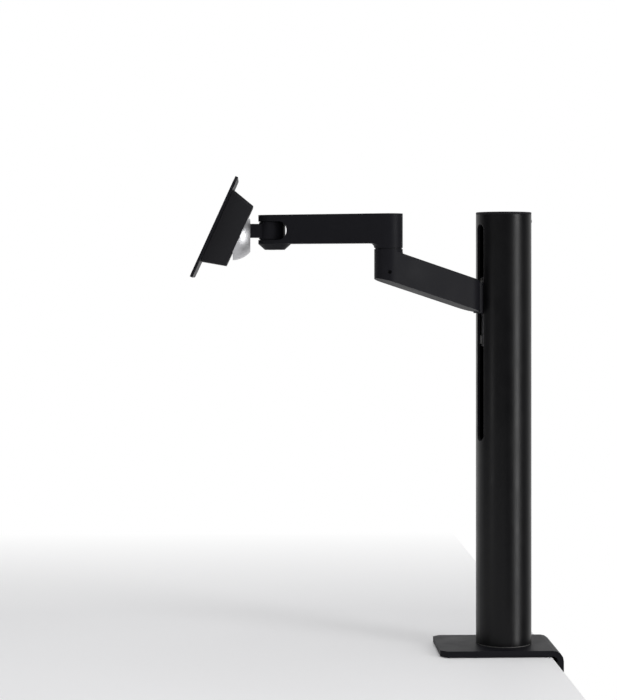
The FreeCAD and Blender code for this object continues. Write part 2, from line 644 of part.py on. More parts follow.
def column_fittings():
    """Cap, slot liner, swivel bushes and travel stops, all held by the tube."""
    lid = rod("column_rad", "cap_thick - 0.6", "0", "0", "column_top - cap_thick")
    edge = taper("column_rad", "column_rad - 0.6", "0.6", "0", "0", "column_top - 0.6")
    plug = ring("column_bore - run_gap", "column_bore - 3", "cap_plug", "0", "0",
                "column_top - cap_thick - cap_plug")
    piece("column_cap", fuse(lid, edge, plug), "column")
    liner_half = "slot_half - face_gap"
    inner_half = "slot_half - liner_thick"
    outer = upright_slot(liner_half)
    inner = upright_slot(inner_half)
    wall = ring("column_rad - 0.3", "column_bore + seat_gap", "column_top", "0", "0", "0")
    piece("slot_liner", common(cut(outer, inner), wall), "column")
    bush_feet = {"lower_swivel_bush": "plate_high + flange_thick + 4",
                 "upper_swivel_bush": "bush_top_z - bush_high"}
    for label, foot in bush_feet.items():
        bush = ring("column_bore - seat_gap", "spindle_rad + run_gap", "bush_high - face_gap", "0", "0", foot)
        piece(label, bush, "column")
    stops = [ring("column_bore - seat_gap", "column_bore - stop_wide", "stop_thick", "0", "0", foot)
             for foot in ("lower_stop_z - stop_thick", "upper_stop_z")]
    piece("lower_stop", stops[0], "column")
    relief = block("-column_bore - 1", "-spring_back + 2", "spring_wide / 2 + 1", "upper_stop_z - 1",
                   "strip_top + 1")
    piece("upper_stop", cut(stops[1], relief), "column")


def spring_strip():
    """The constant-force strip, from its anchor at the top of the tube down to the spool."""
    strip = block("-spring_back - spring_thick / 2", "spring_thick / 2 - spring_back", "spring_wide / 2",
                  "spool_z", "strip_top")
    piece("spring_strip", strip, "column")
    space = block("-column_bore - 1", "-spring_back - spring_thick / 2", "anchor_wide / 2", "upper_stop_z",
                  "strip_top")
    anchor = common(space, rod("column_bore - seat_gap", "column_top"))
    holes = [rod("anchor_bolt_rad + run_gap", "column_rad", "0", side + "anchor_wide / 4", "anchor_z", "-x")
             for side in ("", "-")]
    piece("spring_anchor", cut(anchor, *holes), "column")
    screws = [cap_screw("anchor_bolt_rad", "column_rad - spring_back - spring_thick / 2 - 0.4", "-column_rad",
                        side + "anchor_wide / 4", "anchor_z", "x") for side in ("", "-")]
    piece("anchor_screws", group(*screws), "column")


# ---------------------------------------------------------------------------------------------------------
# Carriage: slides in the column and carries the lower link
# ---------------------------------------------------------------------------------------------------------
def carriage():
    """The block with its glide rings, and the spool that the strip winds on."""
    core = rod("block_rad", "block_high - block_low", "0", "0", "block_low")
    neck_slot = block("neck_in - run_gap", "column_rad", "neck_thick / 2 + run_gap", "neck_low - run_gap",
                      "neck_high + run_gap")
    strip_way = block("-column_rad", "-spring_back + 1.2", "spring_wide / 2 + 1.5", "block_low - 1",
                      "block_high + 1")
    spool_bay = block("-column_rad", "spool_x + coil_rad + 1", "spring_wide / 2 + 1.5", "block_low - 1",
                      "spool_z + coil_rad + 1")
    axle_bore = rod("spool_axle_rad + run_gap", "2 * column_rad", "spool_x", "-column_rad", "spool_z", "y")
    bolt_bores = [rod("neck_bolt_rad + run_gap", "2 * column_rad", "neck_bolt_at", "-column_rad", height, "y")
                  for height in neck_bolt_heights()]
    head_bores = [rod(f"{HEAD_WIDE} * neck_bolt_rad + hole_gap", "column_rad", "neck_bolt_at", "bolt_seat",
                      height, "y")
                  for height in neck_bolt_heights()]
    seats = [ring("block_rad + 1", "block_rad - 1", "ring_high + 2 * face_gap", "0", "0", f"({foot}) - face_gap")
             for foot in ring_feet()]
    hollows = [neck_slot, strip_way, spool_bay, axle_bore, *bolt_bores, *head_bores, *seats]
    piece("carriage_block", cut(core, *hollows), "column")
    gate = block("0", "column_rad", "slot_half + 1.5", "block_low - 1", "block_high + 1")
    back = block("-column_rad", "-spring_back + 1.2", "spring_wide / 2 + 1.5", "block_low - 1", "block_high + 1")
    rings = [ring("column_bore - run_gap", "block_rad - 1 + run_gap", "ring_high", "0", "0", foot)
             for foot in ring_feet()]
    piece("glide_rings", cut(group(*rings), gate, back), "column")
    bolts = [cap_screw("neck_bolt_rad", "2 * bolt_seat", "neck_bolt_at", "bolt_seat", height, "-y")
             for height in neck_bolt_heights()]
    piece("neck_screws", group(*bolts), "column")
    piece("spool_axle", rod("spool_axle_rad", "2 * axle_half", "spool_x", "-axle_half", "spool_z", "y"), "column")
    core_ring = ring("spool_rad", "spool_axle_rad + run_gap", "spring_wide + 2", "spool_x",
                     "-spring_wide / 2 - 1", "spool_z", "y")
    piece("spring_spool", core_ring, "column")
    coil = ring("coil_rad", "spool_rad + seat_gap", "spring_wide", "spool_x", "-spring_wide / 2", "spool_z", "y")
    piece("spring_coil", coil, "column")


def neck_bolt_heights():
    """Heights of the two bolts that hold the link's neck in the carriage."""
    return ["link_mid - neck_bolt_gap / 2", "link_mid + neck_bolt_gap / 2"]


def ring_feet():
    """Lower faces of the two glide rings."""
    return ["block_low + 2", "block_high - ring_high - 1.5"]


# ---------------------------------------------------------------------------------------------------------
# Lower link and elbow
# ---------------------------------------------------------------------------------------------------------
def lower_link():
    """A sloping bar with an upright knuckle at the elbow and a flat neck that enters the column."""
    body, origin = new_body("LowerLink")
    side = sketch_on(body, origin["XZ_Plane"], "SideView")
    climb = "(({0}) - column_rad) * tan(link_slope)"
    top = "neck_high + " + climb
    low = "neck_low + " + climb
    tip = "link_long + arm_half"
    root = "link_near"
    outline(side, [(tip, low.format(tip)), (tip, top.format(tip)), (root, top.format(root)),
                   (root, low.format(root))])
    pad(body, side, "arm_wide", middle=True)
    doc.recompute()
    plan = round_bar("link_near + arm_half", "link_long", "arm_half", "0", "elbow_seam_low")
    middle = "link_mid + " + climb.format("link_long")
    knuckle = rod("arm_half", f"elbow_seam_low - ({middle})", "link_long", "0", middle)
    collar = common(flare("link_long", top.format("link_long - arm_half - knuckle_fillet"), "1"), plan)
    neck = block("neck_in", "link_near + 2", "neck_thick / 2", "neck_low", "neck_high")
    pin_bore = rod("elbow_pin_rad + run_gap", "50", "link_long", "0", "pin_foot - 0.2")
    bolt_bores = [rod("neck_bolt_rad + run_gap", "2 * column_rad", "neck_bolt_at", "-column_rad", height, "y")
                  for height in neck_bolt_heights()]
    screw_bore = set_screw("set_bolt_rad + run_gap", "elbow_pin_rad - 2", "arm_half - elbow_pin_rad + 4")
    piece("lower_link", cut(fuse(common(body, plan), knuckle, collar, neck), pin_bore, screw_bore, *bolt_bores), "column")


def flare(x, z, up):
    """A hollow quarter-round collar round a knuckle, from its wide rim at z towards the seam, as frustums."""
    stack = []
    for start, end in ((0, 30), (30, 60), (60, 90)):
        radii = [f"arm_half + knuckle_fillet * (1 - sin({turn}))" for turn in (start, end)]
        rises = [f"knuckle_fillet * (1 - cos({turn}))" for turn in (start, end)]
        foot = f"{z} + {up} * {rises[0]}"
        stack.append(taper(*radii, f"{rises[1]} - {rises[0]}", x, "0", foot, "z" if up == "1" else "-z"))
    return fuse(*stack)


def set_screw(radius, start, length):
    """A rod that points out of the lower knuckle, square to the elbow pin, at the set screw's angle."""
    obj = doc.addObject("Part::Cylinder", "SetScrew")
    obj.setExpression("Radius", formula(radius))
    obj.setExpression("Height", formula(length))
    base = f"link_long + ({start}) * cos(set_bolt_turn); ({start}) * sin(set_bolt_turn); set_bolt_z"
    obj.setExpression("Placement", formula(f"placement(vector({base}); rotation(set_bolt_turn; 90; 0))"))
    return obj


def elbow():
    """The pin held in the lower knuckle, and the washers, bolt and cap that close the elbow from above."""
    pin = rod("elbow_pin_rad", "elbow_pin_top - pin_foot", "link_long", "0", "pin_foot")
    flat = set_screw("set_bolt_rad + run_gap", "elbow_pin_rad - 1", "4")
    tapped = rod("elbow_bolt_rad + run_gap", "16", "link_long", "0", "elbow_pin_top - 14")
    piece("elbow_pin", cut(pin, flat, tapped), "column")
    screw = set_screw("set_bolt_rad", "elbow_pin_rad - 0.95", "arm_half - elbow_pin_rad - 0.4")
    socket = set_screw("0.5 * set_bolt_rad", "arm_half - 3", "3")
    piece("elbow_set_screw", cut(screw, socket), "column")
    washer = ring("arm_half - seam_neck", "elbow_pin_rad + run_gap", "elbow_seam - face_gap", "link_long", "0",
                  "elbow_seam_low")
    piece("elbow_washer", washer, "column")
    disc = ring("elbow_cap_rad - 1", "elbow_pin_rad + run_gap", "elbow_pin_top - elbow_floor - 2 * face_gap",
                "link_long", "0", "elbow_floor + face_gap")
    piece("elbow_disc_spring", disc, "column")
    keeper = ring("elbow_cap_rad - 1", "elbow_bolt_rad + run_gap", "keeper_thick", "link_long", "0",
                  "elbow_pin_top")
    piece("elbow_keeper", keeper, "column")
    screw = cap_screw("elbow_bolt_rad", "13", "link_long", "0", "elbow_pin_top + keeper_thick", "-z")
    piece("elbow_screw", screw, "column")


# ---------------------------------------------------------------------------------------------------------
# Upper arm
# ---------------------------------------------------------------------------------------------------------
def upper_arm():
    """A level bar, hollow from below, with a knuckle at the elbow and a fork window at the wrist."""
    bar = round_bar("0", "arm_long", "arm_half", "arm_low", "arm_high")
    knuckle = rod("arm_half", "arm_low - elbow_low + 1", "0", "0", "elbow_low")
    collar = flare("0", "arm_low", "-1")
    trim = round_bar("0", "arm_long", "arm_half", "elbow_low", "arm_high")
    boss = wrist_boss()
    channel = block("channel_from", "channel_to", "arm_half - arm_wall", "arm_low - 1", "arm_high - arm_wall")
    window_at = "arm_long - fork_deep + fork_half"
    window = fuse(block(window_at, "arm_long + 2 * arm_half", "2 * arm_half", "fork_low", "fork_high"),
                  rod("fork_half", "4 * arm_half", window_at, "-2 * arm_half", "fork_mid", "y"))
    bushing = rod("elbow_bore + face_gap", "50", "0", "0", "elbow_low - 1")
    pocket = rod("elbow_cap_rad + face_gap", "20", "0", "0", "elbow_floor")
    rim = cut(rod("arm_half", "10", "0", "0", "elbow_floor - 10"),
              rod("elbow_bore + face_gap", "12", "0", "0", "elbow_floor - 11"))
    pin = rod("wrist_pin_rad + run_gap", "60", "arm_long", "0", "boss_low - 1")
    head = rod(f"{HEAD_WIDE} * wrist_pin_rad + hole_gap", "20", "arm_long", "0", "arm_high - 4.2")
    nut = rod("2 * wrist_pin_rad - 1.5 + hole_gap", "4", "arm_long", "0", "boss_low - 1")
    solid = fuse(bar, knuckle, common(collar, trim), boss)
    piece("upper_arm", cut(fuse(cut(solid, channel, window, bushing, pin, head, nut), rim), pocket), "arm")
    cover = block("channel_from + 0.1", "channel_to - 0.1", "arm_half - arm_wall - 0.1", "arm_low",
                  "arm_low + arm_cover_thick")
    piece("arm_cover", cover, "arm")


def wrist_boss():
    """The chamfered boss under the wrist, a round-ended plan drawn in to a smaller one."""
    far, near = "arm_long", "arm_long - boss_back"
    ends = [taper("boss_foot_rad", "arm_half", "boss_deep", place, "0", "boss_low") for place in (far, near)]
    body, origin = new_body("BossMiddle")
    middle = sketch_on(body, origin["YZ_Plane"], "BossSection", near)
    outline(middle, [("-boss_foot_rad", "boss_low"), ("boss_foot_rad", "boss_low"), ("arm_half", "arm_low"),
                     ("-arm_half", "arm_low")])
    pad(body, middle, "boss_back")
    doc.recompute()
    return fuse(*ends, body)


def arm_fittings():
    """Bushes and cap at the elbow, pin and nut at the wrist."""
    bush_feet = {"elbow_bush_lower": "elbow_low + 0.1", "elbow_bush_upper": "elbow_floor - elbow_bush_high - 0.1"}
    for label, foot in bush_feet.items():
        piece(label, ring("elbow_bore", "elbow_pin_rad + run_gap", "elbow_bush_high", "0", "0", foot), "arm")
    piece("elbow_cap", rod("elbow_cap_rad", "elbow_cap_thick", "0", "0", "arm_high - elbow_cap_thick"), "arm")
    pin = cap_screw("wrist_pin_rad", "arm_high - 4 - boss_low", "arm_long", "0", "arm_high - 4.1", "-z")
    piece("wrist_pin", pin, "arm")
    nut = ring("2 * wrist_pin_rad - 1.5", "wrist_pin_rad + run_gap", "2.9", "arm_long", "0", "boss_low")
    piece("wrist_nut", nut, "arm")
    for label, foot in (("wrist_washer_low", "fork_low"), ("wrist_washer_high", "barrel_high + face_gap")):
        washer = ring("barrel_rad - 1", "wrist_pin_rad + run_gap", "wrist_washer_thick - face_gap",
                      "arm_long", "0", foot)
        piece(label, washer, "arm")


# ---------------------------------------------------------------------------------------------------------
# Wrist yoke and tilt ball
# ---------------------------------------------------------------------------------------------------------
def wrist_yoke():
    """A barrel between the fork's faces and the tab that carries the ball."""
    barrel = rod("barrel_rad", "barrel_high - barrel_low", "0", "0", "barrel_low")
    tab = block("0", "tilt_reach - ball_flat", "tab_wide / 2", "tab_low", "tab_high")
    bore = rod("wrist_pin_rad + run_gap", "40", "0", "0", "fork_low - 5")
    threads = [rod("ball_bolt_rad + run_gap", "8", "tilt_reach - ball_flat + 0.1", side + "ball_bolt_gap / 2",
                   "tilt_high + ball_bolt_up", "-x") for side in ("", "-")]
    piece("wrist_yoke", cut(fuse(barrel, tab), bore, *threads), "wrist")


def tilt_ball():
    """A satin metal ball cut flat towards the yoke, with a hub behind it for the tilt shaft."""
    sphere = doc.addObject("Part::Sphere", "Ball")
    sphere.setExpression("Radius", formula("ball_rad"))
    sphere.setExpression("Angle1", formula("-asin(ball_half / ball_rad)"))
    sphere.setExpression("Angle2", formula("asin(ball_half / ball_rad)"))
    lay(sphere, "tilt_reach", "0", "tilt_high", TURNS["y"])
    keep = block("tilt_reach - ball_flat", "tilt_reach + ball_rear", "ball_rad", "tilt_high - ball_rad - 1",
                 "tilt_high + ball_rad + 1")
    hub = rod("ball_hub_rad", "2 * ball_half", "tilt_reach", "-ball_half", "tilt_high", "y")
    bore = rod("tilt_pin_rad + run_gap", "4 * ball_half", "tilt_reach", "-2 * ball_half", "tilt_high", "y")
    spots = [(side + "ball_bolt_gap / 2", "tilt_high + ball_bolt_up") for side in ("", "-")]
    seat = "tilt_reach + ball_rear - 4"
    shanks = [rod("ball_bolt_rad + hole_gap", "2 * ball_rad", seat, y, z, "-x") for y, z in spots]
    heads = [rod(f"{HEAD_WIDE} * ball_bolt_rad + hole_gap", "2 * ball_rad", seat, y, z, "x") for y, z in spots]
    piece("tilt_ball", cut(fuse(common(sphere, keep), hub), bore, *shanks, *heads), "wrist")
    length = "ball_flat + ball_rear - 4 + 7"
    screws = [cap_screw("ball_bolt_rad", length, seat, y, z, "-x") for y, z in spots]
    piece("ball_screws", group(*screws), "wrist")


# ---------------------------------------------------------------------------------------------------------
# Head: tilts on the ball's shaft
# ---------------------------------------------------------------------------------------------------------
def head_frame():
    """A steel channel with a cheek on each side of the ball and a web behind it."""
    body, origin = new_body("HeadFrame")
    plan = sketch_on(body, origin["XY_Plane"], "ChannelPlan")
    outline(plan, [
        ("-frame_tip", "-cheek_out"), ("web_rear", "-cheek_out"), ("web_rear", "cheek_out"),
        ("-frame_tip", "cheek_out"),
        ("-frame_tip", "cheek_in"), ("web_at", "cheek_in"), ("web_at", "-cheek_in"), ("-frame_tip", "-cheek_in"),
    ])
    pad(body, plan, "2 * frame_half", middle=True)
    doc.recompute()
    shaft_bore = rod("tilt_pin_rad + seat_gap", "4 * cheek_out", "0", "-2 * cheek_out", "0", "y")
    pivot_bore = rod("hub_rad + run_gap", "frame_thick + 2", "web_at - 1", "0", "0", "x")
    piece("head_frame", cut(body, shaft_bore, pivot_bore), "head")


def tilt_fittings():
    """Shaft, friction washers and nuts of the tilt joint."""
    half = "cheek_out + tilt_nut_thick"
    piece("tilt_shaft", rod("tilt_pin_rad", f"2 * ({half})", "0", f"-({half})", "0", "y"), "head")
    washers = [ring("tilt_washer_rad", "tilt_pin_rad + run_gap", "tilt_washer_thick", "0", place, "0", "y")
               for place in ("ball_half + face_gap", "-ball_half - face_gap - tilt_washer_thick")]
    piece("tilt_washers", group(*washers), "head")
    nuts = [ring("tilt_nut_rad", "tilt_pin_rad + seat_gap", "tilt_nut_thick - 0.5", "0", place, "0", "y")
            for place in ("cheek_out", "-cheek_out - tilt_nut_thick + 0.5")]
    piece("tilt_nuts", group(*nuts), "head")


def head_cover():
    """A square shell that widens towards the screen, with a round window for the ball."""
    def shell(name, small, large, corner, front):
        body, origin = new_body(name)
        near = sketch_on(body, origin["YZ_Plane"], "ArmSide", front)
        far = sketch_on(body, origin["YZ_Plane"], "ScreenSide", "cover_rear")
        outline(near, [(y, f"{z} + cover_rise") for y, z in cut_square(small, corner)])
        outline(far, [(y, f"{z} + cover_rise") for y, z in cut_square(large, corner)])
        loft = body.newObject("PartDesign::AdditiveLoft", "Loft")
        loft.Profile = near
        loft.Sections = [far]
        loft.Ruled = True
        doc.recompute()
        return body
    outer = shell("CoverOuter", "cover_small", "cover_large", "cover_corner", "-cover_front")
    inner = shell("CoverInner", "cover_small - cover_wall", "cover_large - cover_wall", "cover_corner",
                  "cover_wall - cover_front")
    window = rod("sqrt(ball_rad ^ 2 - (cover_front - cover_wall) ^ 2) + 2 * rub_gap", "cover_wall + 2",
                 "-cover_front - 1", "0", "0", "x")
    piece("head_cover", cut(outer, inner, window), "head")


def pivot():
    """The hub that turns with the screen plate in the frame's web, its washer and its ring nut."""
    boss = rod("hub_rad", "disc_at - web_at + pivot_nut_thick + 0.2", "web_at - pivot_nut_thick - 0.2",
               "0", "0", "x")
    disc = rod("hub_disc_rad", "cover_rear - disc_at", "disc_at", "0", "0", "x")
    bore = rod("hub_bore", "60", "-20", "0", "0", "x")
    holes = [rod("hub_bolt_rad + run_gap", "20", "disc_at - 1", y, z, "x") for y, z in hub_spots()]
    piece("pivot_hub", cut(fuse(boss, disc), bore, *holes), "head")
    washer = ring("hub_disc_rad - 8", "hub_rad + run_gap", "pivot_washer_thick - face_gap", "web_rear + face_gap",
                  "0", "0", "x")
    piece("pivot_washer", washer, "head")
    nut = ring("pivot_nut_rad", "hub_rad + seat_gap", "pivot_nut_thick - face_gap",
               "web_at - pivot_nut_thick - 0.1", "0", "0", "x")
    piece("pivot_nut", nut, "head")


def hub_spots():
    """Places of the four screws between the pivot hub and the screen plate."""
    across = "hub_bolt_ring * cos(45)"
    return [(f"{side_y}{across}", f"{side_z}{across}") for side_y in ("", "-") for side_z in ("", "-")]


def screen_plate():
    """A square plate with two standard hole patterns for the screen."""
    body, origin = new_body("ScreenPlate")
    plan = sketch_on(body, origin["YZ_Plane"], "PlatePlan", "cover_rear")
    outline(plan, cut_square("screen_plate_half", "screen_plate_corner"))
    pad(body, plan, "screen_plate_thick")
    doc.recompute()
    signs = [(side_y, side_z) for side_y in ("", "-") for side_z in ("", "-")]
    holes = [rod("screen_hole_rad", "screen_plate_thick + 2", "cover_rear - 1", f"{side_y}{pattern} / 2",
                 f"{side_z}{pattern} / 2", "x")
             for pattern in ("wide_pattern", "narrow_pattern") for side_y, side_z in signs]
    sunk = [sunk_hole("hub_bolt_rad", "screen_plate_thick + 1", "plate_face", y, z, "-x")
            for y, z in hub_spots()]
    middle = rod("hub_bore", "20", "cover_rear - 1", "0", "0", "x")
    piece("screen_plate", cut(body, *holes, *sunk, middle), "head")
    screws = [sunk_screw("hub_bolt_rad", "plate_face - disc_at - 0.3", "plate_face", y, z, "-x")
              for y, z in hub_spots()]
    piece("hub_screws", group(*screws), "head")


def check_document():
    """Stop if any object failed to build or any sub-part is empty or not valid."""
    failed = [obj.Name for obj in doc.Objects if {"Invalid", "Error"} & set(obj.State)]
    if failed:
        raise RuntimeError(f"objects that failed: {failed}")
    for label, obj in pieces.items():
        if obj.Shape.isNull() or not obj.Shape.isValid() or not obj.Shape.Solids:
            raise RuntimeError(f"{label} has no valid solid")


BUILDERS = [
    clamp_bracket, clamp_rubbers, lower_jaw, clamp_screw, spindle,
    column_tube, column_fittings, spring_strip, carriage, lower_link, elbow,
    upper_arm, arm_fittings, wrist_yoke, tilt_ball,
    head_frame, tilt_fittings, head_cover, pivot, screen_plate,
]

for build in BUILDERS:
    build()
doc.recompute()
check_document()

os.makedirs("parts", exist_ok=True)
for label, obj in pieces.items():
    obj.Shape.exportStep(f"parts/{label}.step")
    print(f"{label}: {len(obj.Shape.Solids)} solid(s), {obj.Shape.Volume / 1000:.2f} cm3")
print(len(pieces), "sub-parts")
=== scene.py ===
import json
import math

import bmesh
import bpy
import numpy as np
from bpy.props import FloatProperty, FloatVectorProperty, IntProperty, PointerProperty
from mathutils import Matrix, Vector


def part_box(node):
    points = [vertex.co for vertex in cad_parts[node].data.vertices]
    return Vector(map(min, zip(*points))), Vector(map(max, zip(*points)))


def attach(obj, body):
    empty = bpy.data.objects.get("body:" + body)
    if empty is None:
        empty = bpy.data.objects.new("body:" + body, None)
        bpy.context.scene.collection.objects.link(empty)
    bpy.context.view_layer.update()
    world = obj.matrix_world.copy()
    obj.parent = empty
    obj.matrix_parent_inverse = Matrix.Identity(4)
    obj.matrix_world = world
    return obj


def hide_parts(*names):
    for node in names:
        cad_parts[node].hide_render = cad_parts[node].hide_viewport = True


# Looks for a clamp-on monitor arm. The frame holds every piece at its real size, in metres:
# +Z is up along the column, -X points to the user and +X to the desk's back edge.
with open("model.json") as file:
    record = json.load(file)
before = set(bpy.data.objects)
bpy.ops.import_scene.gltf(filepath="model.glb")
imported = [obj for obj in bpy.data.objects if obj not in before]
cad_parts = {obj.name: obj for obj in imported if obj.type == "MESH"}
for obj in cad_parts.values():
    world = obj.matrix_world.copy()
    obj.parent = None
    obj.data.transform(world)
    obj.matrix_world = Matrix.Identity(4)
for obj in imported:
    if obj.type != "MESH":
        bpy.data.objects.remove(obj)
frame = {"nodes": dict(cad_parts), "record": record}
NODES = frame["nodes"]
SLOT_OF = {row["node"]: row["material_slot"] for row in frame["record"]["subparts"]}
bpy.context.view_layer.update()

bl_info = {
    "name": "Monitor arm",
    "version": (1, 0, 0),
    "blender": (4, 5, 0),
    "location": "3D View > Sidebar > Monitor arm",
    "description": "Finishes, turned and moulded pieces and a studio for a clamp-on monitor arm",
    "category": "Object",
}

MM = 0.001
POINT_GAP = 1e-7  # points nearer than this are one point

# Proportions of the turned pieces
KNOB_NECK = 0.45  # of the knob's radius
KNOB_BORE = 0.8  # of that neck
SCREW_HEAD = 0.96  # of the screw's radius, where the plate holds it
SCREW_NECK = 0.72  # of the screw's radius, under that head
SCREW_HEAD_HIGH = 2.4 * MM
THREAD_ROWS = 10  # rows of points in one turn of the thread
THREAD_AROUND = 40
KNOB_AROUND = 256
LID_AROUND = 160
COVER_AROUND = 160


def low(node):
    """Lowest corner of a node's box."""
    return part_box(node)[0]


def high(node):
    """Highest corner of a node's box."""
    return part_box(node)[1]


def middle(node):
    """Centre of a node's box."""
    return (low(node) + high(node)) / 2


# ---------------------------------------------------------------------------------------------------------
# Values that a user would change
# ---------------------------------------------------------------------------------------------------------
def colour(label, text, value):
    """A colour property with its name, description and default."""
    return FloatVectorProperty(name=label, description=text, default=value, subtype="COLOR", min=0.0, max=1.0)


def length(label, text, value):
    """A length property with its name, description and default."""
    return FloatProperty(name=label, description=text, default=value, min=0.0, unit="LENGTH")


class FinishColours(bpy.types.PropertyGroup):
    """Colours of the object's finishes."""

    arm_paint: colour("Arm paint", "Powder coat of the arms and the clamp", (0.0075, 0.0075, 0.0098))
    column_paint: colour("Column paint", "Smoother powder coat of the column", (0.0032, 0.0032, 0.0038))
    plastic: colour("Plastic", "Moulded covers, caps and knob", (0.0085, 0.0085, 0.0105))
    satin_metal: colour("Satin metal", "Turned ball of the tilt joint", (0.60, 0.60, 0.615))
    cast_metal: colour("Cast metal", "Bead-blasted castings", (0.40, 0.40, 0.41))
    zinc: colour("Zinc plate", "Plated shafts, nuts and screws", (0.46, 0.46, 0.47))
    spring: colour("Spring steel", "Rolled strip", (0.36, 0.36, 0.38))
    oxide: colour("Black oxide", "Blackened screws", (0.020, 0.020, 0.022))
    acetal: colour("Acetal", "Bushes, washers and glide rings", (0.20, 0.20, 0.195))
    rubber: colour("Rubber", "Pads and stops", (0.014, 0.014, 0.015))
    desk: colour("Desk", "Pale desk under the clamp", (0.83, 0.83, 0.84))


class SurfaceGrain(bpy.types.PropertyGroup):
    """Scale and strength of the finishes' grain."""

    coat_grain: length("Coat grain", "Width of one bead of the powder coat", 0.00042)
    column_grain: length("Column grain", "Width of one bead of the column's coat", 0.00026)
    moulded_grain: length("Moulded grain", "Width of one cell of the plastic's texture", 0.00055)
    edge_round: length("Edge round", "Radius that the paint gives to sharp edges", 0.0005)
    # How far edges lighten in colour: partly rubbed wear, partly a painted edge highlight.
    edge_wear_and_highlight: FloatProperty(
        name="Edge wear", description="How far edges lighten", default=0.35, min=0.0, max=1.0,
        subtype="FACTOR")


class StudioSizes(bpy.types.PropertyGroup):
    """Camera and desk of the studio."""

    camera_at: FloatVectorProperty(
        name="Camera", description="Place of the camera", default=(-0.277, -2.053, 0.406),
        subtype="TRANSLATION")
    camera_yaw: FloatProperty(
        name="Camera yaw", description="Turn of the level camera towards the desk's back edge",
        default=math.radians(1.82), subtype="ANGLE")
    camera_lens: FloatProperty(name="Lens", description="Focal length in millimetres", default=97.7, min=1.0)
    camera_rise: FloatProperty(name="Rise", description="Vertical shift of the lens", default=-0.107)
    desk_thick: length("Desk", "Thickness of the desk", 0.025)
    desk_edge: length("Desk edge", "Column axis to the desk's back edge", 0.0455)


# ---------------------------------------------------------------------------------------------------------
# Shader graphs
# ---------------------------------------------------------------------------------------------------------
class Wire:
    """An output socket. Arithmetic on it adds Math nodes to its tree."""

    def __init__(self, graph, socket):
        self.graph = graph
        self.socket = socket

    def maths(self, operation, *values):
        return self.graph.add("ShaderNodeMath", {"operation": operation}, dict(enumerate(values)))

    def __add__(self, other):
        return self.maths("ADD", self, other)

    def __sub__(self, other):
        return self.maths("SUBTRACT", self, other)

    def __rsub__(self, other):
        return self.maths("SUBTRACT", other, self)

    def __mul__(self, other):
        return self.maths("MULTIPLY", self, other)

    __radd__ = __add__
    __rmul__ = __mul__


class Graph:
    """The node tree of a material or the world."""

    def __init__(self, tree):
        self.tree = tree
        tree.nodes.clear()

    def add(self, kind, settings, inputs, output=0):
        """Add a node: its settings first, then the values or wires of its sockets. Returns one output."""
        node = self.tree.nodes.new(kind)
        for name, value in settings.items():
            if name == "stops":
                self.fill_ramp(node.color_ramp, value)
            else:
                setattr(node, name, value)
        for key, value in inputs.items():
            if isinstance(value, Wire):
                self.tree.links.new(value.socket, node.inputs[key])
            else:
                node.inputs[key].default_value = value
        return Wire(self, node.outputs[output]) if node.outputs else node

    @staticmethod
    def fill_ramp(ramp, stops):
        """Set a ramp's stops, given as places and grey values."""
        while len(ramp.elements) < len(stops):
            ramp.elements.new(0.5)
        for element, (place, grey) in zip(ramp.elements, stops):
            element.position = place
            element.color = (grey, grey, grey, 1.0)

    def place(self):
        """The surface's own coordinates, in metres."""
        return self.add("ShaderNodeTexCoord", {}, {}, "Object")

    def noise(self, size, detail=2.0, rough=0.5, stretch=None):
        """Noise from 0 to 1 whose patches are about the given size, stretched by a scale along each axis."""
        at = self.place()
        if stretch:
            at = self.add("ShaderNodeMapping", {}, {"Vector": at, "Scale": stretch})
        sockets = {"Vector": at, "Scale": 1.0 / size, "Detail": detail, "Roughness": rough}
        return self.add("ShaderNodeTexNoise", {}, sockets)

    def cells(self, size):
        """Distance to the nearest cell's middle, for grain made of small bumps."""
        return self.add("ShaderNodeTexVoronoi", {}, {"Vector": self.place(), "Scale": 1.0 / size})

    def ramp(self, value, *stops):
        """Map a value through grey stops."""
        return self.add("ShaderNodeValToRGB", {"stops": stops}, {"Fac": value})

    def blend(self, factor, first, second):
        """Mix two colours."""
        return self.add("ShaderNodeMix", {"data_type": "RGBA"}, {0: factor, 6: first, 7: second}, 2)

    def rounded(self, radius):
        """Normals that round sharp edges over a radius."""
        return self.add("ShaderNodeBevel", {"samples": 6}, {"Radius": radius})

    def edge_mask(self, radius):
        """0 on flat faces, rising to 1 on edges: 1 less the cosine between true and rounded normals."""
        true_normal = self.add("ShaderNodeNewGeometry", {}, {}, "True Normal")
        sockets = {0: self.rounded(radius), 1: true_normal}
        agree = self.add("ShaderNodeVectorMath", {"operation": "DOT_PRODUCT"}, sockets, "Value")
        return self.ramp(1.0 - agree, (0.02, 0.0), (0.22, 1.0))

    def bump(self, height, strength, depth, normal):
        """Bump on top of a normal; depth in metres."""
        sockets = {"Height": height, "Strength": strength, "Distance": depth, "Normal": normal}
        return self.add("ShaderNodeBump", {}, sockets)


def full(rgb, gain=1.0):
    """A colour with alpha, brightened by a gain."""
    return (*(min(1.0, part * gain) for part in rgb), 1.0)


def new_material(name):
    """A material with an empty graph."""
    material = bpy.data.materials.new(name)
    material.use_nodes = True
    return material, Graph(material.node_tree)


def close_material(graph, sockets):
    """Add the surface shader and the output."""
    shader = graph.add("ShaderNodeBsdfPrincipled", {}, sockets)
    graph.add("ShaderNodeOutputMaterial", {}, {"Surface": shader})


